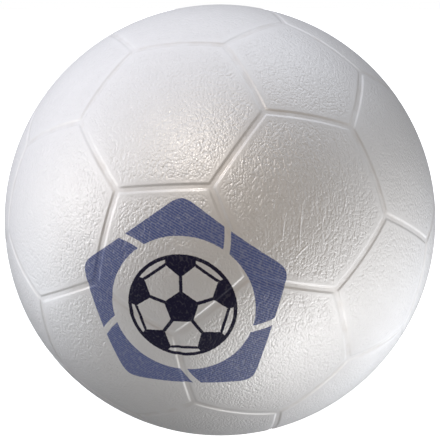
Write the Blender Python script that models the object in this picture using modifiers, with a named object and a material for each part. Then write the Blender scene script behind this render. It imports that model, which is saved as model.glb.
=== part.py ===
"""Indoor football: one hollow moulded cover with pressed-in panel channels, and its valve plug.

The panels are the 12 pentagons and 20 hexagons of a truncated icosahedron, blown out to a sphere.
Every piece is modelled round the ball's centre with +Z running out through the valve. The empty
ball_centre then turns the whole ball and stands it on the floor, z = 0.
"""

import math

import bmesh
import bpy
from mathutils import Matrix

# Cover, in metres
BALL_DIAMETER = 0.210
COVER_WALL = 0.0022
CHANNEL_WIDTH = 0.0035
CHANNEL_FLOOR_WIDTH = 0.0016
CHANNEL_DEPTH = 0.0003

# Moulded boss inside the cover, which grips the valve
BOSS_LENGTH = 0.0080
BOSS_ROOT_RADIUS = 0.0130
BOSS_END_RADIUS = 0.0095

# Valve plug
FLANGE_RADIUS = 0.0060
FLANGE_THICKNESS = 0.0012
FLANGE_SINK = 0.0004
NECK_RADIUS = 0.0040
BULB_RADIUS = 0.0058
BULB_LENGTH = 0.0050
TAIL_RADIUS = 0.0022
TAIL_LENGTH = 0.0040
NEEDLE_RADIUS = 0.0009
NEEDLE_DEPTH = 0.0140
NEEDLE_LEAD_IN = 0.0008
EDGE_BREAK = 0.0003

# Clearance between the plug and everything that it passes
FIT_GAP = 0.0003

# How the ball is turned where it stands, in degrees
VALVE_AZIMUTH = 76.9
VALVE_TILT = 90.9
PANEL_SPIN = 31.5

# Fineness of the faceted shapes
EDGE_SEGMENTS = 5
CAVITY_LEVEL = 4
TURN_STEPS = 32
BULB_STEPS = 5

# How far a cutter or a joined piece runs past the surface that it meets
OVERRUN = 0.0010

BALL_RADIUS = BALL_DIAMETER / 2
CAVITY_RADIUS = BALL_RADIUS - COVER_WALL
BOSS_END = CAVITY_RADIUS - BOSS_LENGTH
FLANGE_TOP = BALL_RADIUS - FLANGE_SINK
FLANGE_UNDERSIDE = FLANGE_TOP - FLANGE_THICKNESS
BULB_TOP = BOSS_END - FIT_GAP
BULB_END = BULB_TOP - BULB_LENGTH
TAIL_END = BULB_END - TAIL_LENGTH


def clear_scene():
    for obj in list(bpy.data.objects):
        bpy.data.objects.remove(obj, do_unlink=True)


def make_collection(name):
    collection = bpy.data.collections.new(name)
    bpy.context.scene.collection.children.link(collection)
    return collection


def make_material(name, colour, roughness):
    material = bpy.data.materials.new(name)
    material.use_nodes = True
    shader = material.node_tree.nodes["Principled BSDF"]
    shader.inputs["Base Color"].default_value = (*colour, 1.0)
    shader.inputs["Roughness"].default_value = roughness
    shader.inputs["Metallic"].default_value = 0.0
    return material


def add_object(name, mesh, collection, centre):
    obj = bpy.data.objects.new(name, mesh)
    obj.parent = centre
    collection.objects.link(obj)
    return obj


def smooth(mesh):
    mesh.shade_smooth()
    mesh.set_sharp_from_angle(angle=math.radians(30))


def inset_panels(bm, panels, arc_width, ring, number):
    """Inset every panel by a width measured along the sphere, and number the new corners."""
    known = set(bm.verts)
    for panel in panels:
        height = panel.calc_center_median().length
        edge_reach = ((panel.verts[0].co + panel.verts[1].co) / 2).length
        flat_width = arc_width * edge_reach ** 2 / (height * BALL_RADIUS)
        bmesh.ops.inset_individual(bm, faces=[panel], thickness=flat_width, use_even_offset=True)
    for vert in bm.verts:
        if vert not in known:
            vert[ring] = number


def panelled_ball():
    """A closed sphere of 32 panels, with a channel pressed in along every panel edge."""
    bm = bmesh.new()
    ring = bm.verts.layers.float.new("ring")
    bmesh.ops.create_icosphere(bm, subdivisions=1, radius=BALL_RADIUS)
    bm.edges.ensure_lookup_table()
    corner_cut = bm.edges[0].calc_length() / 3
    bmesh.ops.bevel(bm, geom=bm.verts[:], offset=corner_cut, offset_type="OFFSET", affect="VERTICES",
                    segments=1, profile=0.5, clamp_overlap=False)
    bmesh.ops.remove_doubles(bm, verts=bm.verts[:], dist=0.00001)
    for vert in bm.verts:
        vert.co = vert.co.normalized() * BALL_RADIUS

    # Ring 0 is the channel's middle, 1 the foot of its wall, 2 its shoulder and 3 the panel's centre
    panels = bm.faces[:]
    inset_panels(bm, panels, CHANNEL_FLOOR_WIDTH / 2, ring, 1)
    inset_panels(bm, panels, (CHANNEL_WIDTH - CHANNEL_FLOOR_WIDTH) / 2, ring, 2)
    for vert in bmesh.ops.poke(bm, faces=panels)["verts"]:
        vert[ring] = 3

    # The mitre lines, which run between rings across a channel, are the only edges left whole
    divided = [edge for edge in bm.edges
               if edge.verts[0][ring] == edge.verts[1][ring] or max(vert[ring] for vert in edge.verts) == 3]
    bmesh.ops.subdivide_edges(bm, edges=divided, cuts=EDGE_SEGMENTS - 1, use_grid_fill=True)
    for vert in bm.verts:
        depth_share = min(1.0, max(0.0, 2.0 - vert[ring]))
        vert.co = vert.co.normalized() * (BALL_RADIUS - CHANNEL_DEPTH * depth_share)
    bmesh.ops.triangulate(bm, faces=bm.faces[:])
    bmesh.ops.recalc_face_normals(bm, faces=bm.faces[:])

    mesh = bpy.data.meshes.new("cover")
    bm.to_mesh(mesh)
    bm.free()
    smooth(mesh)
    return mesh


def cavity_ball():
    bm = bmesh.new()
    bmesh.ops.create_icosphere(bm, subdivisions=CAVITY_LEVEL, radius=CAVITY_RADIUS)
    mesh = bpy.data.meshes.new("cavity")
    bm.to_mesh(mesh)
    bm.free()
    return mesh


def turned(name, profile, collection, centre):
    """A solid turned round Z from a profile of (radius, height) points, run top to bottom."""
    mesh = bpy.data.meshes.new(name)
    points = [(radius, 0.0, height) for radius, height in profile]
    mesh.from_pydata(points, [(i, i + 1) for i in range(len(points) - 1)], [])
    obj = add_object(name, mesh, collection, centre)
    screw = obj.modifiers.new("turn", "SCREW")
    screw.axis = "Z"
    screw.steps = TURN_STEPS
    screw.render_steps = TURN_STEPS
    screw.use_merge_vertices = True
    screw.merge_threshold = 0.00001
    screw.use_smooth_shade = False
    return obj


def boss_profile():
    root = CAVITY_RADIUS + COVER_WALL / 2
    return [
        (0.0, root),
        (BOSS_ROOT_RADIUS, root),
        (BOSS_END_RADIUS, BOSS_END + EDGE_BREAK),
        (BOSS_END_RADIUS - EDGE_BREAK, BOSS_END),
        (0.0, BOSS_END),
    ]


def bore_profile():
    """The stepped hole that the plug is pressed into, with the clearance all round the plug."""
    seat_radius = FLANGE_RADIUS + FIT_GAP
    bore_radius = NECK_RADIUS + FIT_GAP
    return [
        (0.0, BALL_RADIUS + OVERRUN),
        (seat_radius, BALL_RADIUS + OVERRUN),
        (seat_radius, FLANGE_UNDERSIDE - FIT_GAP),
        (bore_radius, FLANGE_UNDERSIDE - FIT_GAP),
        (bore_radius, BOSS_END - OVERRUN),
        (0.0, BOSS_END - OVERRUN),
    ]


def bulb_points():
    """The bulb's rounded side, a quarter ellipse from its full width in to the tail."""
    points = []
    for step in range(1, BULB_STEPS + 1):
        angle = math.radians(90) * step / BULB_STEPS
        radius = TAIL_RADIUS + (BULB_RADIUS - TAIL_RADIUS) * math.cos(angle)
        points.append((radius, BULB_TOP - EDGE_BREAK - (BULB_LENGTH - EDGE_BREAK) * math.sin(angle)))
    return points


def valve_profile():
    needle_end = FLANGE_TOP - NEEDLE_DEPTH
    channel = [
        (0.0, needle_end),
        (NEEDLE_RADIUS, needle_end),
        (NEEDLE_RADIUS, FLANGE_TOP - NEEDLE_LEAD_IN),
        (NEEDLE_RADIUS + NEEDLE_LEAD_IN, FLANGE_TOP),
    ]
    flange_and_neck = [
        (FLANGE_RADIUS - EDGE_BREAK, FLANGE_TOP),
        (FLANGE_RADIUS, FLANGE_TOP - EDGE_BREAK),
        (FLANGE_RADIUS, FLANGE_UNDERSIDE),
        (NECK_RADIUS, FLANGE_UNDERSIDE),
        (NECK_RADIUS, BULB_TOP),
    ]
    bulb = [(BULB_RADIUS - EDGE_BREAK, BULB_TOP), (BULB_RADIUS, BULB_TOP - EDGE_BREAK)] + bulb_points()
    tail = [
        (TAIL_RADIUS, TAIL_END + EDGE_BREAK),
        (TAIL_RADIUS - EDGE_BREAK, TAIL_END),
        (0.0, TAIL_END),
    ]
    return channel + flange_and_neck + bulb + tail


def add_boolean(obj, name, operation, other):
    boolean = obj.modifiers.new(name, "BOOLEAN")
    boolean.operation = operation
    boolean.solver = "EXACT"
    boolean.object = other


def stand_on_floor(centre, mesh):
    """Turn the ball and lift it until the lowest point of its outer surface is at z = 0."""
    turn = (Matrix.Rotation(math.radians(VALVE_AZIMUTH), 4, "Z")
            @ Matrix.Rotation(math.radians(VALVE_TILT), 4, "Y")
            @ Matrix.Rotation(math.radians(PANEL_SPIN), 4, "Z"))
    lowest = min((turn @ vert.co).z for vert in mesh.vertices)
    centre.matrix_world = Matrix.Translation((0.0, 0.0, -lowest)) @ turn


def main():
    clear_scene()
    pieces = make_collection("indoor_football")
    cutters = make_collection("cutters")
    centre = bpy.data.objects.new("ball_centre", None)
    pieces.objects.link(centre)

    cover = add_object("cover", panelled_ball(), pieces, centre)
    cover.data.materials.append(make_material("cover_vinyl", (0.80, 0.80, 0.81), 0.38))
    cavity = add_object("cavity", cavity_ball(), cutters, centre)
    boss = turned("boss", boss_profile(), cutters, centre)
    bore = turned("bore", bore_profile(), cutters, centre)
    add_boolean(cover, "hollow", "DIFFERENCE", cavity)
    add_boolean(cover, "boss", "UNION", boss)
    add_boolean(cover, "bore", "DIFFERENCE", bore)
    for cutter in (cavity, boss, bore):
        cutter.hide_render = True
        cutter.display_type = "WIRE"

    valve = turned("valve", valve_profile(), pieces, centre)
    valve.data.materials.append(make_material("valve_rubber", (0.05, 0.05, 0.05), 0.6))

    stand_on_floor(centre, cover.data)


main()
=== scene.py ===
"""Looks of the indoor football: a grained vinyl cover with a printed emblem, a rubber valve and a studio.

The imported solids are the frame. The cover here is a finer model of the same shell, with the same cavity,
valve boss and bore. Its channels run where the solid's do and are as deep, but half a millimetre wider and
rounded at the shoulders. The valve is a finer model of the same plug.

Lengths are in metres. What has mm or MM in its name is in millimetres, and so is all that a material's nodes
work out, because patterns are easier to set in them.
"""

import math

import bmesh
import bpy
import numpy as np
from mathutils import Matrix, Vector, noise


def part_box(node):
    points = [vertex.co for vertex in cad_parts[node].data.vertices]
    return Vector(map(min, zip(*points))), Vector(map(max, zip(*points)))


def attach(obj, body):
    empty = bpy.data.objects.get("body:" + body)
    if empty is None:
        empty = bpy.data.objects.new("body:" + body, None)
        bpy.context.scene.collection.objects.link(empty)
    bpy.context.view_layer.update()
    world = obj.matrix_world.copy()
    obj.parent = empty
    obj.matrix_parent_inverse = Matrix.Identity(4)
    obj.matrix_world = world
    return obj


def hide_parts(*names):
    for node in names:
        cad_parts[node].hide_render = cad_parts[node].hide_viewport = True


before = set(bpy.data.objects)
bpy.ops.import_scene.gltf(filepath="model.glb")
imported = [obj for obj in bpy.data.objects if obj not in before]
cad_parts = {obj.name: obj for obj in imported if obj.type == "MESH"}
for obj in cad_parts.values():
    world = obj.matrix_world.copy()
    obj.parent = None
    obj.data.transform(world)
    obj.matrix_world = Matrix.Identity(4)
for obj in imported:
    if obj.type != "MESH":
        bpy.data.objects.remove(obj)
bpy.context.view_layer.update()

bl_info = {
    "name": "Indoor Football",
    "version": (1, 0, 0),
    "blender": (4, 5, 0),
    "location": "View3D > Sidebar > Football",
    "description": "Builds a moulded indoor football with its printed emblem and valve in a small studio",
    "category": "Add Mesh",
}

MM = 0.001

# Turn of the panels about the valve's axis, in degrees, as in the part's own source
PANEL_SPIN = 31.5

# Cover: how finely it is divided, and the widths of the strips beside a channel, from its middle outwards
EDGE_SEGMENTS = 20
STRIP_WIDTHS_MM = (0.35, 0.30, 0.20, 0.20, 0.20, 0.20, 0.20, 0.20, 0.25, 0.50)
CAVITY_LEVEL = 4
TURN_STEPS = 96
OVERRUN = 0.0010

# Inside of the cover and the plug, the same sizes as in the solids
COVER_WALL = 0.0022
BOSS_LENGTH = 0.0080
BOSS_ROOT_RADIUS = 0.0130
BOSS_END_RADIUS = 0.0095
FLANGE_SINK = 0.0004
FLANGE_THICKNESS = 0.0012
NECK_RADIUS = 0.0040
BULB_RADIUS = 0.0058
BULB_LENGTH = 0.0050
TAIL_RADIUS = 0.0022
TAIL_LENGTH = 0.0040
NEEDLE_DEPTH = 0.0140
FIT_GAP = 0.0003

# Where the emblem's middle is, as directions from the ball's centre in degrees
PRINT_AZIMUTH = -99.4
PRINT_ELEVATION = -11.6

# The panel that shows the most creases, as a direction from the ball's centre in degrees
CREASED_AZIMUTH = -67.7
CREASED_ELEVATION = 14.1

# Single creases on that panel: where each starts and ends, across and up from the panel's middle, then its
# bow to the right and the height of its lip. Their ends were worked out from pixels read off the photograph,
# and rounded
CREASES_MM = (
    (-13.5, -18.5, -10.5, -3.0, -0.5, 0.22),
    (-5.5, -19.5, -2.5, 0.5, -0.5, 0.19),
    (-8.0, -26.0, 0.5, -18.5, -0.5, 0.17),
    (16.5, -9.5, 21.0, 3.0, -0.5, 0.13),
    (-20.5, 22.0, -19.0, 15.0, 0.3, 0.10),
    (-17.5, -5.0, -16.0, 1.0, 0.2, 0.10),
    (1.0, -6.0, 1.0, 0.5, 0.2, 0.10),
)
CREASE_REACH_MM = 0.7

# Light tent: soft patches of light all round the ball. Each has its name, the azimuth and elevation of its
# middle in degrees, its tightness, its brightness and its colour. Seven of them began as a fit to the
# photograph's soft shading, and were rounded and changed. The two floors in front and the warm room
# were added
TENT_PATCHES = (
    ("back cloth", 150, 40, 1.5, 1.4, "#F4F6FF"),
    ("left window", -165, 10, 25, 3.2, "#FFFCF8"),
    ("left floor", 160, -20, 30, 2.0, "#F4FAFF"),
    ("floor in front at the left", -160, -50, 6, 0.35, "#FFFFFF"),
    ("warm room in front", -75, 15, 5, 0.22, "#FFD494"),
    ("ceiling at the right", 30, 60, 8, 1.2, "#F0F6FF"),
    ("right wall", 0, -20, 6, 1.65, "#FFFFFF"),
    ("reflector in front at the right", -35, -40, 40, 4.0, "#FFFFFF"),
    ("floor in front at the right", -40, -65, 30, 3.2, "#FFFFFF"),
    ("right floor", 50, -30, 15, 1.9, "#F4F8FF"),
)

# Softbox that makes the sparks on the grain: its name, its azimuth, elevation and distance from the ball's
# centre, then its width, height, power and colour
SOFTBOXES = (
    ("small_front", -105, 42, 0.90, 0.08, 0.08, 1.6, "#FFF7ED"),
)


def linear(hex_colour):
    """The linear colour of an sRGB hex value."""
    channels = [int(hex_colour[i:i + 2], 16) / 255 for i in (1, 3, 5)]
    return tuple(c / 12.92 if c <= 0.04045 else ((c + 0.055) / 1.055) ** 2.4 for c in channels)


def direction(azimuth, elevation):
    """A unit vector from an azimuth and an elevation in degrees."""
    a, e = math.radians(azimuth), math.radians(elevation)
    return Vector((math.cos(a) * math.cos(e), math.sin(a) * math.cos(e), math.sin(e)))


def ball_place():
    """The matrix from the ball's own frame, with +Z out through the valve, to the row frame."""
    low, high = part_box("cover")
    centre = (low + high) / 2
    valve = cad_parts["valve"].data
    axis = (sum((v.co for v in valve.vertices), Vector()) / len(valve.vertices) - centre).normalized()
    turn = (Matrix.Rotation(math.atan2(axis.y, axis.x), 4, "Z")
            @ Matrix.Rotation(math.acos(axis.z), 4, "Y")
            @ Matrix.Rotation(math.radians(PANEL_SPIN), 4, "Z"))
    return Matrix.Translation(centre) @ turn


class CoverSettings(bpy.types.PropertyGroup):
    diameter: bpy.props.FloatProperty(
        name="Diameter", description="Outside diameter of the inflated ball",
        default=0.210, min=0.05, max=0.5, subtype="DISTANCE")
    channel_floor: bpy.props.FloatProperty(
        name="Channel Floor", description="Width of the flat floor of a channel",
        default=0.0013, min=0.0001, max=0.01, precision=5, subtype="DISTANCE")
    channel_width: bpy.props.FloatProperty(
        name="Channel Width", description="Width of a channel between its shoulders",
        default=0.0040, min=0.0005, max=0.02, precision=5, subtype="DISTANCE")
    channel_depth: bpy.props.FloatProperty(
        name="Channel Depth", description="Depth of a channel under the panels",
        default=0.00030, min=0.0, max=0.002, precision=5, subtype="DISTANCE")
    swell: bpy.props.FloatProperty(
        name="Swell", description="Height of the slow hills and hollows of the moulded panels",
        default=0.00004, min=0.0, max=0.001, precision=5, subtype="DISTANCE")
    grain_spacing: bpy.props.FloatProperty(
        name="Grain Spacing", description="Width of one pebble of the leather grain",
        default=0.00105, min=0.0003, max=0.01, precision=5, subtype="DISTANCE")
    grain_depth: bpy.props.FloatProperty(
        name="Grain Depth", description="Height of the leather grain's pebbles",
        default=0.00012, min=0.0, max=0.001, precision=5, subtype="DISTANCE")
    vinyl_colour: bpy.props.FloatVectorProperty(
        name="Vinyl", description="Colour of the clean vinyl",
        default=linear("#E5E4E4"), size=3, min=0.0, max=1.0, subtype="COLOR")
    # Browner, darker colour that the channels take on in patches near their middles
    channel_tint_colour: bpy.props.FloatVectorProperty(
        name="Channel Tint", description="Colour of the dust that stays in the channels",
        default=linear("#AA967F"), size=3, min=0.0, max=1.0, subtype="COLOR")


class PrintSettings(bpy.types.PropertyGroup):
    band_reach: bpy.props.FloatProperty(
        name="Band Reach", description="From the emblem's middle to the middle of one side of its outer band",
        default=0.041, min=0.01, max=0.07, subtype="DISTANCE")
    band_hole: bpy.props.FloatProperty(
        name="Band Hole", description="Radius of the round hole in the outer band",
        default=0.0325, min=0.005, max=0.06, subtype="DISTANCE")
    disc_radius: bpy.props.FloatProperty(
        name="Disc Radius", description="Radius of the inner disc of the emblem",
        default=0.0245, min=0.005, max=0.05, subtype="DISTANCE")
    screen_pitch: bpy.props.FloatProperty(
        name="Screen Pitch", description="Distance between the lines that the band is printed with",
        default=0.0011, min=0.0003, max=0.005, precision=5, subtype="DISTANCE")
    band_colour: bpy.props.FloatVectorProperty(
        name="Band Ink", description="Colour of the outer band",
        default=linear("#4B598C"), size=3, min=0.0, max=1.0, subtype="COLOR")
    line_colour: bpy.props.FloatVectorProperty(
        name="Line Ink", description="Colour of the inner disc's lines",
        default=linear("#0C082A"), size=3, min=0.0, max=1.0, subtype="COLOR")


class ValveSettings(bpy.types.PropertyGroup):
    flange_radius: bpy.props.FloatProperty(
        name="Flange Radius", description="Radius of the plug's flange",
        default=0.0060, min=0.002, max=0.02, precision=4, subtype="DISTANCE")
    needle_radius: bpy.props.FloatProperty(
        name="Needle Radius", description="Radius of the channel for the inflation needle",
        default=0.0009, min=0.0003, max=0.003, precision=4, subtype="DISTANCE")
    rubber_colour: bpy.props.FloatVectorProperty(
        name="Rubber", description="Colour of the plug",
        default=linear("#1E1E1F"), size=3, min=0.0, max=1.0, subtype="COLOR")


class StageSettings(bpy.types.PropertyGroup):
    camera_distance: bpy.props.FloatProperty(
        name="Camera Distance", description="From the ball's centre to the camera",
        default=0.8615, min=0.2, max=5.0, subtype="DISTANCE")
    camera_elevation: bpy.props.FloatProperty(
        name="Camera Elevation", description="Height of the camera above the ball's centre, as an angle",
        default=math.radians(10), min=0.0, max=math.radians(90), subtype="ANGLE")
    lens: bpy.props.FloatProperty(
        name="Lens", description="Focal length of the camera on a sensor 36 mm wide",
        default=143.6, min=20.0, max=300.0, subtype="DISTANCE_CAMERA")
    light_level: bpy.props.FloatProperty(
        name="Light Level", description="Share of the tent's and the softbox's own brightness",
        default=1.0, min=0.0, max=10.0, subtype="FACTOR")
    floor_colour: bpy.props.FloatVectorProperty(
        name="Floor", description="Colour of the studio's floor",
        default=linear("#F4F4F4"), size=3, min=0.0, max=1.0, subtype="COLOR")


def add_node(tree, kind, *values, named=None, **settings):
    """Add a node, make its settings, and fill its open inputs in order and then by name.

    A value is a number, a vector, an output, or a node, which stands for its first open output.
    """
    made = tree.nodes.new("ShaderNode" + kind)
    for name, setting in settings.items():
        setattr(made, name, setting)
    sockets = [socket for socket in made.inputs if socket.enabled]
    pairs = list(zip(sockets, values)) + [(made.inputs[name], value) for name, value in (named or {}).items()]
    for socket, value in pairs:
        if isinstance(value, bpy.types.Node):
            value = next(output for output in value.outputs if output.enabled)
        if isinstance(value, bpy.types.NodeSocket):
            tree.links.new(value, socket)
        elif value is not None:
            socket.default_value = value
    return made


def new_material(name):
    """A material with an empty node tree."""
    material = bpy.data.materials.new(name)
    material.use_nodes = True
    material.node_tree.nodes.clear()
    return material


def stored(tree, name):
    """What the mesh stores for each point under this name, as a number."""
    return add_node(tree, "Attribute", attribute_name=name).outputs["Fac"]


def stored_place(tree, name):
    """What the mesh stores for each point under this name, as a place."""
    return add_node(tree, "Attribute", attribute_name=name).outputs["Vector"]


def under(tree, value, limit, softness):
    """One where the value is under the limit and zero where it is over, with a soft edge this wide."""
    return add_node(tree, "MapRange", value, limit - softness / 2, limit + softness / 2, 1.0, 0.0)


def over(tree, value, limit, softness):
    """One where the value is over the limit and zero where it is under, with a soft edge this wide."""
    return add_node(tree, "MapRange", value, limit - softness / 2, limit + softness / 2, 0.0, 1.0)


def joined(tree, operation, *values):
    """The values taken together by one operation, two at a time."""
    result = values[0]
    for value in values[1:]:
        result = add_node(tree, "Math", result, value, operation=operation)
    return result


def emblem_coverage(tree, settings):
    """How much ink lies on each point: the band's ink and the lines' ink, as two numbers from 0 to 1.

    The emblem is a disc like a ball seen from one panel, in a five-sided band with slanting gaps. It repeats
    five times round its middle, so its lines are drawn once, in a wedge of 36 degrees and its mirror image.
    """
    edge_softness = 0.22
    raggedness = 0.45
    corner_rounding = 9.0
    wedge = math.radians(36)
    place = stored_place(tree, "print_mm")
    wobble = add_node(tree, "TexNoise", place, 1.1, 2.0, noise_dimensions="3D")
    shifted = add_node(tree, "VectorMath", wobble.outputs["Color"], (-0.5, -0.5, -0.5), operation="ADD")
    spread = (raggedness, raggedness, 0.0)
    ragged = add_node(tree, "VectorMath", shifted, spread, place, operation="MULTIPLY_ADD")
    axes = add_node(tree, "SeparateXYZ", ragged)
    radius = add_node(tree, "VectorMath", ragged, operation="LENGTH").outputs["Value"]
    angle = joined(tree, "ARCTAN2", axes.outputs["X"], axes.outputs["Y"])
    folded = joined(tree, "PINGPONG", angle, wedge)
    along = joined(tree, "MULTIPLY", radius, add_node(tree, "Math", folded, operation="COSINE"))
    across = joined(tree, "MULTIPLY", radius, add_node(tree, "Math", folded, operation="SINE"))
    along_part = joined(tree, "MULTIPLY", along, math.cos(wedge))
    across_part = joined(tree, "MULTIPLY", across, math.sin(wedge))
    near_side = joined(tree, "ADD", along_part, across_part)
    far_side = joined(tree, "SUBTRACT", along_part, across_part)
    five_sided = add_node(tree, "Math", near_side, far_side, corner_rounding, operation="SMOOTH_MAX")

    # Outer band, cut by gaps that lean forward as they go out
    gap_half_width, upright_radius, lean_per_mm = 1.7, 35.0, 0.016
    slant = joined(tree, "MULTIPLY", joined(tree, "SUBTRACT", radius, upright_radius), lean_per_mm)
    leaned = joined(tree, "PINGPONG", joined(tree, "ADD", angle, slant), wedge)
    from_gap = joined(tree, "MULTIPLY", joined(tree, "SUBTRACT", wedge, leaned), radius)
    band = joined(tree, "MULTIPLY",
                  under(tree, five_sided, settings.band_reach / MM, edge_softness),
                  over(tree, radius, settings.band_hole / MM, edge_softness),
                  over(tree, from_gap, gap_half_width, edge_softness))

    # Inner disc: a rim, a dark panel in the middle, spokes from its corners, dark panels cut off by the rim
    # between them, and the far sides of the pale panels
    disc = settings.disc_radius / MM
    rim_inside, middle_reach = disc * 0.93, disc * 0.27
    spoke_half_width, spoke_reach = disc * 0.032, disc * 0.60
    patch_corner, patch_half_width, patch_lean = disc * 0.58, disc * 0.28, math.radians(52)
    side_reach, side_half_width, side_start = disc * 0.81, disc * 0.028, disc * 0.27
    in_disc = under(tree, radius, disc, edge_softness)
    rim = joined(tree, "MULTIPLY", in_disc, over(tree, radius, rim_inside, edge_softness))
    middle = under(tree, near_side, middle_reach, edge_softness)
    spoke = joined(tree, "MULTIPLY", under(tree, across, spoke_half_width, edge_softness),
                   under(tree, along, spoke_reach, edge_softness))
    beyond = joined(tree, "SUBTRACT", joined(tree, "MULTIPLY", along, math.sin(patch_lean)),
                    joined(tree, "MULTIPLY", across, math.cos(patch_lean)))
    outer_patch = joined(tree, "MULTIPLY",
                         over(tree, beyond, patch_corner * math.sin(patch_lean), edge_softness),
                         under(tree, across, patch_half_width, edge_softness), in_disc)
    off_side = add_node(tree, "Math", joined(tree, "SUBTRACT", near_side, side_reach), operation="ABSOLUTE")
    side_line = joined(tree, "MULTIPLY", under(tree, off_side, side_half_width, edge_softness),
                       over(tree, across, side_start, edge_softness))
    lines = joined(tree, "MAXIMUM", rim, middle, spoke, outer_patch, side_line)
    return band, lines


def crease_height(tree, panel):
    """Height in mm of the single creases, each a narrow lip that bows a little and runs out at both ends."""
    height = 0.0
    for start_right, start_up, end_right, end_up, bow, lip in CREASES_MM:
        right, up = end_right - start_right, end_up - start_up
        half = math.hypot(right, up) / 2
        middle = ((start_right + end_right) / 2, (start_up + end_up) / 2, 0.0)
        placed = add_node(tree, "VectorMath", panel, middle, operation="SUBTRACT")
        turned = add_node(tree, "VectorRotate", placed, rotation_type="Z_AXIS",
                          named={"Angle": math.atan2(right, up)})
        axes = add_node(tree, "SeparateXYZ", turned)
        square = joined(tree, "MULTIPLY", axes.outputs["Y"], axes.outputs["Y"])
        bowed = joined(tree, "SUBTRACT", axes.outputs["X"], bow)
        off = add_node(tree, "Math", square, bow / half ** 2, bowed, operation="MULTIPLY_ADD")
        off = add_node(tree, "Math", off, operation="ABSOLUTE")
        taper = add_node(tree, "MapRange", square, 0.0, half ** 2, lip, 0.0, interpolation_type="SMOOTHSTEP")
        ridge = add_node(tree, "MapRange", off, 0.0, CREASE_REACH_MM, taper, 0.0,
                         interpolation_type="SMOOTHSTEP")
        own_panel = under(tree, axes.outputs["Z"], 1.0, 0.5)
        height = joined(tree, "ADD", joined(tree, "MULTIPLY", ridge, own_panel), height)
    return height


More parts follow.
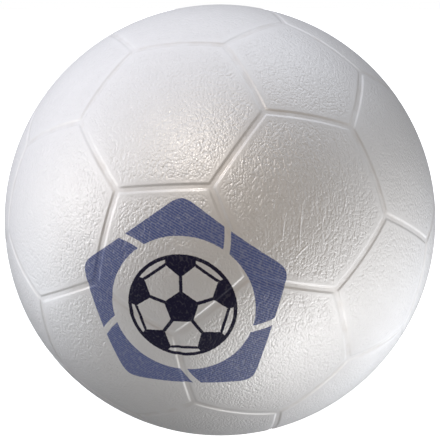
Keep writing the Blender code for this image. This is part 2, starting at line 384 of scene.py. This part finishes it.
def vinyl_material(cover, emblem):
    """Soft PVC, rotation-moulded in a mould with an etched leather grain, and screen-printed.

    To the eye it is a pearly off-white with a soft broad gloss that the grain breaks into sparks. The grain
    fades out beside the channels, a few fine creases run up the panels, and darker, browner patches lie in
    the channels. The ink is flat in colour, a little thinner in the grain's valleys, and lies in fine lines
    on the outer band.
    """
    material = new_material("moulded_soft_vinyl")
    tree = material.node_tree
    channel = stored(tree, "channel_mm")
    from_valve = stored(tree, "valve_mm")
    surface = stored_place(tree, "surface_mm")
    panel = stored_place(tree, "panel_mm")

    # The grain fades out over a few millimetres beside a channel and round the valve
    beside_channel = add_node(tree, "MapRange", channel, 1.8, 6.0, 0.12, 1.0, interpolation_type="SMOOTHSTEP")
    round_valve = add_node(tree, "MapRange", from_valve, 8.5, 11.5, 0.1, 1.0, interpolation_type="SMOOTHSTEP")
    fade = joined(tree, "MULTIPLY", beside_channel, round_valve)

    # Leather grain: domed pebbles about 1 mm wide, a little longer upright, with narrow valleys between them
    pebble = cover.grain_spacing / MM
    bend = (1.3, 1.3, 1.3)
    upright = add_node(tree, "VectorMath", surface, (1.0, 1.0, 0.8), operation="MULTIPLY")
    bent = add_node(tree, "TexNoise", upright, 0.55 / pebble, 2.0)
    bent = add_node(tree, "VectorMath", bent.outputs["Color"], bend, upright, operation="MULTIPLY_ADD")
    cells = add_node(tree, "TexVoronoi", bent, 1.0 / pebble).outputs["Distance"]
    domes = joined(tree, "MULTIPLY", cells, cells, 1.5)
    fine = add_node(tree, "TexNoise", upright, 1.6 / pebble, 3.0).outputs["Fac"]
    pebbles = joined(tree, "SUBTRACT", joined(tree, "MULTIPLY", fine, 0.9), domes)
    grain = joined(tree, "MULTIPLY", pebbles, cover.grain_depth / MM)

    # Short wrinkles about 2 mm apart and 8 mm long, which run up the panels here and there
    streak_place = add_node(tree, "VectorMath", panel, (0.45, 0.12, 1.0), operation="MULTIPLY")
    streak = add_node(tree, "TexNoise", streak_place, 1.0, 2.0, named={"Distortion": 0.6}).outputs["Fac"]
    streak = add_node(tree, "MapRange", streak, 0.48, 0.68, 0.0, 1.0, interpolation_type="SMOOTHSTEP")
    streaks = joined(tree, "MULTIPLY", streak, stored(tree, "streak_mm"))

    height = joined(tree, "MULTIPLY", joined(tree, "ADD", grain, streaks, crease_height(tree, panel)), fade)
    relief = add_node(tree, "Bump", named={"Strength": 1.0, "Distance": MM, "Height": height})

    # Vinyl: slow changes of tint 10 mm across, and darker, browner patches in the channels
    cloud = add_node(tree, "TexNoise", surface, 0.1, 3.0).outputs["Fac"]
    tint = add_node(tree, "MapRange", cloud, 0.3, 0.7, 0.0, 0.35)
    cloudy = tuple(0.93 * c for c in cover.vinyl_colour)
    colour = add_node(tree, "Mix", tint, (*cover.vinyl_colour, 1.0), (*cloudy, 1.0), data_type="RGBA")
    patches = add_node(tree, "TexNoise", surface, 0.12, 3.0).outputs["Fac"]
    # Darker, browner patches in the middles of the channels
    channel_tint = joined(tree, "MULTIPLY", under(tree, channel, 1.5, 1.0),
                  add_node(tree, "MapRange", patches, 0.4, 0.7, 0.0, 0.16))
    colour = add_node(tree, "Mix", channel_tint, colour, (*cover.channel_tint_colour, 1.0), data_type="RGBA")

    # Ink: the band in fine lines, and both inks thin where the grain is low
    band, lines = emblem_coverage(tree, emblem)
    turns = 2 * math.pi / (emblem.screen_pitch / MM)
    screen_angle = math.radians(62)
    across_lines = (turns * math.cos(screen_angle), turns * math.sin(screen_angle), 0.0)
    phase = add_node(tree, "VectorMath", stored_place(tree, "print_mm"), across_lines,
                     operation="DOT_PRODUCT").outputs["Value"]
    wave = add_node(tree, "Math", phase, operation="SINE")
    screen = add_node(tree, "MapRange", wave, -1.0, 0.4, 0.84, 1.0)
    worn = add_node(tree, "MapRange", pebbles, -0.4, 0.1, 0.88, 1.0)
    band_ink = joined(tree, "MULTIPLY", band, screen, worn)
    line_ink = joined(tree, "MULTIPLY", lines, add_node(tree, "MapRange", pebbles, -0.5, -0.1, 0.96, 1.0))
    colour = add_node(tree, "Mix", band_ink, colour, (*emblem.band_colour, 1.0), data_type="RGBA")
    colour = add_node(tree, "Mix", line_ink, colour, (*emblem.line_colour, 1.0), data_type="RGBA")

    # The pearl pigment shines like a soft metal where no ink covers it. A thin clear skin lies over the vinyl
    # and the band, and makes the sharp sparks, and the line ink is almost without it
    bare = joined(tree, "SUBTRACT", 1.0, joined(tree, "MAXIMUM", band_ink, line_ink))
    pearl = joined(tree, "MULTIPLY", bare, 0.6)
    skin = add_node(tree, "MapRange", line_ink, 0.0, 1.0, 0.45, 0.05)
    gloss = add_node(tree, "MapRange", fine, 0.3, 0.7, 0.44, 0.56)
    shader = add_node(tree, "BsdfPrincipled", named={
        "Base Color": colour, "Metallic": pearl, "Roughness": gloss, "IOR": 1.53, "Normal": relief,
        "Specular IOR Level": 0.25, "Coat Weight": skin, "Coat Roughness": 0.12,
        "Coat IOR": 1.5, "Coat Normal": relief})
    add_node(tree, "OutputMaterial", shader)
    return material


def rubber_material(valve):
    """Butyl rubber, moulded and left matt, with a faint bloom and the fine stipple of its mould."""
    material = new_material("moulded_butyl_rubber")
    tree = material.node_tree
    place = add_node(tree, "TexCoord").outputs["Object"]
    stipple = add_node(tree, "TexNoise", place, 1 / (0.35 * MM), 3.0).outputs["Fac"]
    relief = add_node(tree, "Bump", named={"Strength": 1.0, "Distance": 0.015 * MM, "Height": stipple})
    cloud = add_node(tree, "TexNoise", place, 1 / (3.0 * MM), 3.0).outputs["Fac"]
    bloom = add_node(tree, "MapRange", cloud, 0.4, 0.75, 0.0, 0.22)
    bloomed = linear("#6A6862")
    colour = add_node(tree, "Mix", bloom, (*valve.rubber_colour, 1.0), (*bloomed, 1.0), data_type="RGBA")
    rough = add_node(tree, "MapRange", cloud, 0.3, 0.7, 0.5, 0.68)
    shader = add_node(tree, "BsdfPrincipled", named={
        "Base Color": colour, "Roughness": rough, "IOR": 1.52, "Normal": relief})
    add_node(tree, "OutputMaterial", shader)
    return material


def paper_material(settings):
    """White seamless paper, lit from within so that the studio's floor stays near white under the ball."""
    material = new_material("seamless_paper")
    tree = material.node_tree
    place = add_node(tree, "TexCoord").outputs["Object"]
    fibre = add_node(tree, "TexNoise", place, 900.0, 3.0).outputs["Fac"]
    relief = add_node(tree, "Bump", named={"Strength": 0.2, "Distance": 0.02 * MM, "Height": fibre})
    shader = add_node(tree, "BsdfPrincipled", named={
        "Base Color": (*settings.floor_colour, 1.0), "Roughness": 0.8, "Normal": relief,
        "Emission Color": (1.0, 1.0, 1.0, 1.0), "Emission Strength": 0.85})
    add_node(tree, "OutputMaterial", shader)
    return material


def flat_panels():
    """A closed mesh of 12 pentagons and 20 hexagons, with its corners on a sphere of radius 1."""
    bm = bmesh.new()
    bmesh.ops.create_icosphere(bm, subdivisions=1, radius=1.0)
    bm.edges.ensure_lookup_table()
    corner_cut = bm.edges[0].calc_length() / 3
    bmesh.ops.bevel(bm, geom=bm.verts[:], offset=corner_cut, offset_type="OFFSET", affect="VERTICES",
                    segments=1, profile=0.5, clamp_overlap=False)
    bmesh.ops.remove_doubles(bm, verts=bm.verts[:], dist=0.0001)
    for vert in bm.verts:
        vert.co.normalize()
    return bm


class PanelMap:
    """Where a point of the ball lies among the panels: how far from a channel, and where on its panel."""

    def __init__(self, bm, radius):
        self.radius = radius
        self.edges = np.array([[tuple(vert.co) for vert in edge.verts] for edge in bm.edges])
        middles = [face.calc_center_median() for face in bm.faces]
        self.heights = np.array([middle.length for middle in middles])
        self.centres = np.array([tuple(middle.normalized()) for middle in middles])

    def channel_distance(self, unit):
        """Distance along the ball from each direction to the middle of the nearest channel."""
        nearest = np.full(len(unit), np.inf)
        for start, end in self.edges:
            side = np.cross(start, end)
            side /= np.linalg.norm(side)
            between = (unit @ np.cross(side, start) > 0) & (unit @ np.cross(end, side) > 0)
            to_line = np.abs(np.arcsin(np.clip(unit @ side, -1, 1)))
            to_ends = np.arccos(np.clip(np.maximum(unit @ start, unit @ end), -1, 1))
            nearest = np.minimum(nearest, np.where(between, to_line, to_ends))
        return nearest * self.radius

    def panel_of(self, unit):
        """The number of the panel that each direction lies on."""
        return np.argmax((unit @ self.centres.T) / self.heights, axis=1)

    def places(self, unit, numbers, up, creased):
        """Across and up each point's panel from its middle. Every panel but the creased one is turned."""
        across_panels = np.zeros((len(self.centres), 3))
        up_panels = np.zeros((len(self.centres), 3))
        for number, centre in enumerate(self.centres):
            rise = up - (up @ centre) * centre
            rise /= np.linalg.norm(rise)
            level = np.cross(rise, centre)
            turn = 0.0 if number == creased else math.radians(137.5) * number
            across_panels[number] = math.cos(turn) * level + math.sin(turn) * rise
            up_panels[number] = math.cos(turn) * rise - math.sin(turn) * level
        centre, across, up = self.centres[numbers], across_panels[numbers], up_panels[numbers]
        return spread_round(unit, centre, across, up, self.radius)


def spread_round(unit, centre, across, up, radius):
    """Flat places of directions round a centre, which keep their distance along the ball from it."""
    cosine = np.clip(np.sum(unit * centre, axis=-1), -1, 1)
    arc = np.arccos(cosine) * radius
    right, rise = np.sum(unit * across, axis=-1), np.sum(unit * up, axis=-1)
    length = np.maximum(np.hypot(right, rise), 1e-9)
    return np.stack([arc * right / length, arc * rise / length], axis=1)


def channel_drop(distance, settings):
    """How far the surface lies under the panels at a distance from a channel's middle."""
    foot, shoulder = settings.channel_floor / 2, settings.channel_width / 2
    share = np.clip((distance - foot) / (shoulder - foot), 0, 1)
    return settings.channel_depth * (1 - share * share * (3 - 2 * share))


def outer_skin(settings):
    """The outer surface as a fine closed mesh, and the map of its panels."""
    radius = settings.diameter / 2
    bm = flat_panels()
    panel_map = PanelMap(bm, radius)
    ring = bm.verts.layers.float.new("ring")
    panels = bm.faces[:]
    for number, strip in enumerate(STRIP_WIDTHS_MM, start=1):
        known = set(bm.verts)
        for panel in panels:
            height = panel.calc_center_median().length
            edge_reach = ((panel.verts[0].co + panel.verts[1].co) / 2).length
            width = strip * MM / radius * edge_reach ** 2 / height
            bmesh.ops.inset_individual(bm, faces=[panel], thickness=width, use_even_offset=True)
        for vert in bm.verts:
            if vert not in known:
                vert[ring] = number
    inmost = len(STRIP_WIDTHS_MM) + 1
    for vert in bmesh.ops.poke(bm, faces=panels)["verts"]:
        vert[ring] = inmost
    divided = [edge for edge in bm.edges if edge.verts[0][ring] == edge.verts[1][ring]
               or max(vert[ring] for vert in edge.verts) == inmost]
    bmesh.ops.subdivide_edges(bm, edges=divided, cuts=EDGE_SEGMENTS - 1, use_grid_fill=True)
    bmesh.ops.triangulate(bm, faces=bm.faces[:])
    bmesh.ops.recalc_face_normals(bm, faces=bm.faces[:])
    mesh = bpy.data.meshes.new("outer_skin")
    bm.to_mesh(mesh)
    bm.free()

    unit = unit_places(mesh)
    swell = np.array([noise.noise(Vector(place) * 7.0) for place in unit]) * settings.swell
    drop = channel_drop(panel_map.channel_distance(unit), settings)
    places = unit * (radius - drop + swell)[:, None]
    mesh.vertices.foreach_set("co", places.astype(np.float32).ravel())
    mesh.update()
    return mesh, panel_map


def unit_places(mesh):
    """Directions of a mesh's points from its own origin."""
    places = np.zeros(len(mesh.vertices) * 3, np.float32)
    mesh.vertices.foreach_get("co", places)
    places = places.reshape(-1, 3).astype(float)
    return places / np.maximum(np.linalg.norm(places, axis=1), 1e-9)[:, None]


def turned_mesh(name, profile):
    """A closed solid turned round Z from a profile of (radius, height) points that starts and ends on Z."""
    bm = bmesh.new()
    rings = []
    for radius, height in profile:
        if radius < 1e-9:
            rings.append([bm.verts.new((0.0, 0.0, height))] * TURN_STEPS)
            continue
        angles = [2 * math.pi * step / TURN_STEPS for step in range(TURN_STEPS)]
        rings.append([bm.verts.new((radius * math.cos(a), radius * math.sin(a), height)) for a in angles])
    for above, below in zip(rings, rings[1:]):
        for step in range(TURN_STEPS):
            after = (step + 1) % TURN_STEPS
            corners = dict.fromkeys((above[step], below[step], below[after], above[after]))
            bm.faces.new(list(corners))
    bmesh.ops.recalc_face_normals(bm, faces=bm.faces[:])
    mesh = bpy.data.meshes.new(name)
    bm.to_mesh(mesh)
    bm.free()
    return mesh


def cavity_mesh(radius):
    bm = bmesh.new()
    bmesh.ops.create_icosphere(bm, subdivisions=CAVITY_LEVEL, radius=radius)
    mesh = bpy.data.meshes.new("cavity")
    bm.to_mesh(mesh)
    bm.free()
    return mesh


def boss_profile(radius):
    root = radius - COVER_WALL / 2
    end = radius - COVER_WALL - BOSS_LENGTH
    return [(0.0, root), (BOSS_ROOT_RADIUS, root), (BOSS_END_RADIUS, end), (0.0, end)]


def bore_profile(radius, flange_radius):
    """The stepped hole that the plug is pressed into, with a small lead-in at its rim."""
    seat_radius, bore_radius = flange_radius + FIT_GAP, NECK_RADIUS + FIT_GAP
    seat = radius - FLANGE_SINK - FLANGE_THICKNESS - FIT_GAP
    end = radius - COVER_WALL - BOSS_LENGTH - OVERRUN
    rim = 0.00025
    return [(0.0, radius + OVERRUN), (seat_radius + rim + OVERRUN, radius + OVERRUN),
            (seat_radius, radius - 2 * rim), (seat_radius, seat), (bore_radius, seat), (bore_radius, end),
            (0.0, end)]


def shaped(mesh, steps):
    """The mesh after joining it with or cutting it by other meshes, in order."""
    body = bpy.data.objects.new("body", mesh)
    bpy.context.scene.collection.objects.link(body)
    helpers = [body]
    for operation, other in steps:
        helper = bpy.data.objects.new("helper", other)
        bpy.context.scene.collection.objects.link(helper)
        helpers.append(helper)
        boolean = body.modifiers.new("shape", "BOOLEAN")
        boolean.operation = operation
        boolean.solver = "MANIFOLD"
        boolean.object = helper
    made = bpy.data.meshes.new_from_object(body.evaluated_get(bpy.context.evaluated_depsgraph_get()))
    for helper in helpers:
        bpy.data.objects.remove(helper)
    return made


def store(mesh, name, kind, values):
    """Keep one value for each point of a mesh, for its material to read."""
    attribute = mesh.attributes.new(name, kind, "POINT")
    field = "vector" if kind == "FLOAT_VECTOR" else "value"
    attribute.data.foreach_set(field, np.asarray(values, np.float32).ravel())


def store_places(mesh, panel_map, place, settings):
    """Work out what the vinyl's material reads: channels, panels, the emblem's place and the valve's."""
    radius = settings.diameter / 2
    to_ball = place.to_3x3().inverted()
    unit = unit_places(mesh)
    numbers = panel_map.panel_of(unit)
    up = np.array(to_ball @ Vector((0.0, 0.0, 1.0)))
    aim = np.array(to_ball @ direction(CREASED_AZIMUTH, CREASED_ELEVATION))
    creased = int(np.argmax(panel_map.centres @ aim))
    on_panel = panel_map.places(unit, numbers, up, creased) / MM
    shift = 40.0 * ((numbers - creased) % len(panel_map.centres))

    middle = np.array(to_ball @ direction(PRINT_AZIMUTH, PRINT_ELEVATION))
    rise = up - (up @ middle) * middle
    rise /= np.linalg.norm(rise)
    printed = spread_round(unit, middle[None], np.cross(rise, middle)[None], rise[None], radius) / MM
    places = np.zeros(len(unit) * 3, np.float32)
    mesh.vertices.foreach_get("co", places)
    places = places.reshape(-1, 3)
    out_of_print = 120.0
    beyond = np.hypot(printed[:, 0], printed[:, 1]) > out_of_print
    inside = np.linalg.norm(places, axis=1) < radius - COVER_WALL / 2
    printed[beyond | inside] = out_of_print

    store(mesh, "channel_mm", "FLOAT", panel_map.channel_distance(unit) / MM)
    store(mesh, "valve_mm", "FLOAT", np.arccos(np.clip(unit[:, 2], -1, 1)) * radius / MM)
    store(mesh, "streak_mm", "FLOAT", np.where(numbers == creased, 0.08, 0.03))
    store(mesh, "surface_mm", "FLOAT_VECTOR", places @ np.array(place.to_3x3()).T / MM)
    store(mesh, "panel_mm", "FLOAT_VECTOR", np.column_stack([on_panel, shift]))
    store(mesh, "print_mm", "FLOAT_VECTOR", np.column_stack([printed, np.zeros(len(unit))]))


def place_piece(name, mesh, place, material, node):
    """Put a finished mesh in the row frame, in place of a node of the frame."""
    mesh.transform(place)
    mesh.name = name
    mesh.materials.clear()
    mesh.materials.append(material)
    mesh.shade_smooth()
    mesh.set_sharp_from_angle(angle=math.radians(32))
    piece = bpy.data.objects.new(name, mesh)
    bpy.context.scene.collection.objects.link(piece)
    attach(piece, "root")
    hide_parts(node)
    return piece


def valve_profile(radius, settings):
    """The plug from the bottom of its needle channel, over its flange and bulb, to its tail."""
    top = radius - FLANGE_SINK
    under_flange = top - FLANGE_THICKNESS
    bulb_top = radius - COVER_WALL - BOSS_LENGTH - FIT_GAP
    needle, flange, dish = settings.needle_radius, settings.flange_radius, 0.00018
    profile = [(0.0, top - NEEDLE_DEPTH), (needle, top - NEEDLE_DEPTH), (needle, top - 0.0009)]
    profile += rounded(needle + 0.0008, top - 0.0009, 0.0008, 0.0009, 180, 90)
    profile += [(0.0026, top), (0.0028, top - dish), (0.0036, top - dish), (0.0038, top)]
    profile += rounded(flange - 0.0004, top - 0.0004, 0.0004, 0.0004, 90, 0)
    profile += [(flange, under_flange), (NECK_RADIUS, under_flange), (NECK_RADIUS, bulb_top)]
    profile += rounded(BULB_RADIUS - 0.0003, bulb_top - 0.0003, 0.0003, 0.0003, 90, 0)
    bulb_wide, bulb_tall = BULB_RADIUS - TAIL_RADIUS, BULB_LENGTH - 0.0003
    profile += rounded(TAIL_RADIUS, bulb_top - 0.0003, bulb_wide, bulb_tall, -8, -90)
    end = bulb_top - BULB_LENGTH - TAIL_LENGTH
    profile += rounded(TAIL_RADIUS - 0.0003, end + 0.0003, 0.0003, 0.0003, 0, -90)
    return profile + [(0.0, end)]


def rounded(across, height, wide, tall, start, stop, steps=8):
    """Points of a quarter ellipse round a centre, between two angles in degrees."""
    angles = [math.radians(start + (stop - start) * step / steps) for step in range(steps + 1)]
    return [(across + wide * math.cos(a), height + tall * math.sin(a)) for a in angles]


class AddCover(bpy.types.Operator):
    """Build the grained vinyl cover with its channels, cavity, valve boss and printed emblem"""
    bl_idname = "football.add_cover"
    bl_label = "Add Cover"

    def execute(self, context):
        settings = context.scene.football_cover
        radius = settings.diameter / 2
        flange_radius = context.scene.football_valve.flange_radius
        skin, panel_map = outer_skin(settings)
        mesh = shaped(skin, [
            ("DIFFERENCE", cavity_mesh(radius - COVER_WALL)),
            ("UNION", turned_mesh("boss", boss_profile(radius))),
            ("DIFFERENCE", turned_mesh("bore", bore_profile(radius, flange_radius))),
        ])
        if len(mesh.polygons) < len(skin.polygons) / 2:
            raise RuntimeError("the cover was lost when its cavity, boss and bore were cut")
        place = ball_place()
        store_places(mesh, panel_map, place, settings)
        material = vinyl_material(settings, context.scene.football_print)
        place_piece("vinyl_cover", mesh, place, material, "cover")
        return {"FINISHED"}


class AddValve(bpy.types.Operator):
    """Build the rubber plug with its flange, needle channel, bulb and tail"""
    bl_idname = "football.add_valve"
    bl_label = "Add Valve"

    def execute(self, context):
        settings = context.scene.football_valve
        radius = context.scene.football_cover.diameter / 2
        mesh = turned_mesh("valve", valve_profile(radius, settings))
        place_piece("rubber_valve", mesh, ball_place(), rubber_material(settings), "valve")
        return {"FINISHED"}


class SetStage(bpy.types.Operator):
    """Set up the paper floor, the white surround, the light tent, the softbox and the camera"""
    bl_idname = "football.set_stage"
    bl_label = "Set Stage"

    def execute(self, context):
        settings = context.scene.football_stage
        centre = ball_place().to_translation()
        self.add_floor(context, settings)
        self.add_surround(context)
        self.add_tent(context, settings.light_level)
        for softbox in SOFTBOXES:
            self.add_softbox(context, centre, settings.light_level, *softbox)
        self.add_camera(context, centre, settings)
        return {"FINISHED"}

    def add_floor(self, context, settings):
        mesh = bpy.data.meshes.new("floor")
        half = 4.0
        corners = [(-half, -half, 0), (half, -half, 0), (half, half, 0), (-half, half, 0)]
        mesh.from_pydata(corners, [], [(0, 1, 2, 3)])
        mesh.materials.append(paper_material(settings))
        self.add_backing(context, "floor", mesh).location.z = -0.0001

    def add_surround(self, context):
        """A plain white surround, far behind everything."""
        bm = bmesh.new()
        bmesh.ops.create_icosphere(bm, subdivisions=3, radius=3.8)
        mesh = bpy.data.meshes.new("surround")
        bm.to_mesh(mesh)
        bm.free()
        material = new_material("white_surround")
        add_node(material.node_tree, "OutputMaterial", add_node(material.node_tree, "Emission"))
        mesh.materials.append(material)
        self.add_backing(context, "surround", mesh)

    def add_backing(self, context, name, mesh):
        """Floor and surround are there for the camera alone: the tent's light comes through them."""
        backing = bpy.data.objects.new(name, mesh)
        backing.visible_diffuse = False
        backing.visible_glossy = False
        backing.visible_transmission = False
        backing.visible_shadow = False
        context.scene.collection.objects.link(backing)
        return backing

    def add_tent(self, context, level):
        """Soft light from all round the ball, each patch fading out from its middle."""
        world = bpy.data.worlds.new("light_tent")
        world.use_nodes = True
        tree = world.node_tree
        tree.nodes.clear()
        toward = add_node(tree, "TexCoord").outputs["Generated"]
        light = (0.0, 0.0, 0.0)
        for name, azimuth, elevation, tightness, brightness, colour in TENT_PATCHES:
            middle = direction(azimuth, elevation)
            facing = add_node(tree, "VectorMath", toward, middle, operation="DOT_PRODUCT", label=name)
            facing = joined(tree, "MAXIMUM", facing.outputs["Value"], 0.0)
            facing = joined(tree, "POWER", facing, tightness)
            glow = tuple(c * brightness * level for c in linear(colour))
            light = add_node(tree, "VectorMath", facing, glow, light, operation="MULTIPLY_ADD")
        add_node(tree, "OutputWorld", add_node(tree, "Background", light))
        context.scene.world = world
        context.scene.view_settings.view_transform = "Standard"

    def add_softbox(self, context, centre, level, name, azimuth, elevation, distance, width, height, power,
                    colour):
        light = bpy.data.lights.new(name, "AREA")
        light.shape = "RECTANGLE"
        light.size = width
        light.size_y = height
        light.energy = power * level
        light.color = linear(colour)
        softbox = bpy.data.objects.new(name, light)
        aim = direction(azimuth, elevation)
        softbox.location = centre + aim * distance
        softbox.rotation_mode = "QUATERNION"
        softbox.rotation_quaternion = aim.to_track_quat("Z", "Y")
        softbox.visible_camera = False
        context.scene.collection.objects.link(softbox)

    def add_camera(self, context, centre, settings):
        camera_data = bpy.data.cameras.new("camera")
        camera_data.lens = settings.lens
        camera_data.sensor_width = 36.0
        camera_data.clip_start = 0.01
        camera = bpy.data.objects.new("camera", camera_data)
        back = direction(-90.0, math.degrees(settings.camera_elevation))
        camera.location = centre + back * settings.camera_distance
        camera.rotation_mode = "QUATERNION"
        camera.rotation_quaternion = back.to_track_quat("Z", "Y")
        context.scene.collection.objects.link(camera)
        context.scene.camera = camera


class FootballPanel(bpy.types.Panel):
    """Settings and steps of the indoor football, in the sidebar"""
    bl_idname = "VIEW3D_PT_football"
    bl_label = "Indoor Football"
    bl_space_type = "VIEW_3D"
    bl_region_type = "UI"
    bl_category = "Football"

    def draw(self, context):
        for group, step in (("football_cover", AddCover), ("football_print", None),
                            ("football_valve", AddValve), ("football_stage", SetStage)):
            box = self.layout.box()
            settings = getattr(context.scene, group)
            for name in settings.__annotations__:
                box.prop(settings, name)
            if step:
                box.operator(step.bl_idname)


SETTINGS = {
    "football_cover": CoverSettings,
    "football_print": PrintSettings,
    "football_valve": ValveSettings,
    "football_stage": StageSettings,
}
CLASSES = (*SETTINGS.values(), AddCover, AddValve, SetStage, FootballPanel)


def register():
    for cls in CLASSES:
        bpy.utils.register_class(cls)
    for name, group in SETTINGS.items():
        setattr(bpy.types.Scene, name, bpy.props.PointerProperty(type=group))


def unregister():
    for name in SETTINGS:
        delattr(bpy.types.Scene, name)
    for cls in reversed(CLASSES):
        bpy.utils.unregister_class(cls)


def main():
    register()
    bpy.ops.football.add_cover()
    bpy.ops.football.add_valve()
    bpy.ops.football.set_stage()


if __name__ == "__main__":
    main()
